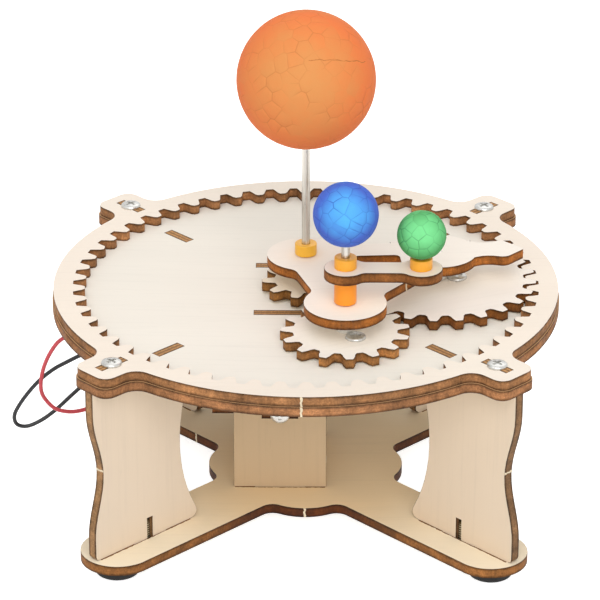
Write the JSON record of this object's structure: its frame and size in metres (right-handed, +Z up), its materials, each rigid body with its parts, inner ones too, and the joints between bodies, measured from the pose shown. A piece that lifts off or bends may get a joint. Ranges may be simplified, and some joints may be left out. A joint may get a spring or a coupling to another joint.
{
  "type": "tellurion",
  "caption": "Motor-driven plywood tellurion: a toothed ring on legs, with geared bridge carrying the Earth and the Moon round a ball Sun on a rod.",
  "frame": {"origin": "on the floor under the Sun's shaft, level with the bottoms of the rubber feet", "axes": "+Z up along the Sun's shaft, +X to the right as the picture shows it, +Y away from its viewer"},
  "size_m": [0.162, 0.1484, 0.1508],
  "materials": {
    "plywood": "bare sheet with burnt cut edges",
    "orange_sleeve": "satin",
    "steel_rod": "drawn",
    "steel_screw": "bright",
    "rubber": "matt",
    "sun_paint": "matt foam",
    "earth_paint": "matt foam",
    "moon_paint": "matt foam",
    "gearbox_shell": "satin",
    "can_metal": "plated",
    "white_plastic": "satin",
    "strap": "satin",
    "tag_brass": "plain",
    "black_plastic": "fine grain",
    "cell_wrap": "satin",
    "wire_red": "satin",
    "wire_black": "satin"
  },
  "bodies": {
    "frame": {"base_plate": "plywood", "leg_front_left": "plywood", "leg_front_right": "plywood", "leg_back_left": "plywood", "leg_back_right": "plywood", "foot_pads": "rubber", "base_screws": "steel_screw", "deck_plate": "plywood", "ring_gear": "plywood", "deck_screws": "steel_screw", "front_panel": "plywood", "back_panel": "plywood", "motor_shelf": "plywood", "panel_screws": "steel_screw", "motor_gearbox": "gearbox_shell", "motor_can": "can_metal", "motor_cap": "white_plastic", "motor_strap": "strap", "motor_terminals": "tag_brass", "motor_screws": "steel_screw", "battery_box": "black_plastic", "battery_lid": "black_plastic", "battery_cells": "cell_wrap", "red_wire": "wire_red", "black_wire": "wire_black"},
    "switch": {"switch_slider": "white_plastic"},
    "carrier": {"bridge": "plywood", "planet_axle": "steel_rod", "planet_spacer": "white_plastic"},
    "planet": {"planet_gear": "plywood", "planet_screw": "steel_screw"},
    "earth": {"earth_gear": "plywood", "earth_screw": "steel_screw", "earth_shaft": "steel_rod", "earth_spacer": "white_plastic", "earth_sleeve_low": "orange_sleeve", "moon_arm": "plywood", "earth_sleeve_top": "orange_sleeve", "earth_ball": "earth_paint", "moon_rod": "steel_rod", "moon_sleeve": "orange_sleeve", "moon_ball": "moon_paint"},
    "sun": {"motor_spindle": "white_plastic", "sun_shaft": "steel_rod", "sun_gear": "plywood", "sun_spacer": "white_plastic", "sun_sleeve": "orange_sleeve", "sun_ball": "sun_paint"}
  },
  "joints": [
    {"name": "carrier_turn", "type": "hinge", "parent": "frame", "child": "carrier", "pos_m": [0, 0, 0.0744], "axis": [0, 0, 1], "continuous": true},
    {"name": "sun_spin", "type": "hinge", "parent": "frame", "child": "sun", "pos_m": [0, 0, 0.0662], "axis": [0, 0, 1], "continuous": true},
    {"name": "planet_spin", "type": "hinge", "parent": "carrier", "child": "planet", "pos_m": [0.03868, 0.0025, 0.0656], "axis": [0, 0, 1], "continuous": true},
    {"name": "earth_spin", "type": "hinge", "parent": "carrier", "child": "earth", "pos_m": [0.01145, -0.03265, 0.0656], "axis": [0, 0, 1], "continuous": true},
    {"name": "switch_slide", "type": "slide", "parent": "frame", "child": "switch", "axis": [1, 0, 0], "range_m": [0, 0.003]}
  ],
  "couplings": [
    {"joint": "sun_spin", "follows": "carrier_turn", "ratio": 6.8},
    {"joint": "planet_spin", "follows": "carrier_turn", "ratio": -2.4167},
    {"joint": "earth_spin", "follows": "carrier_turn", "ratio": 3.8667}
  ]
}
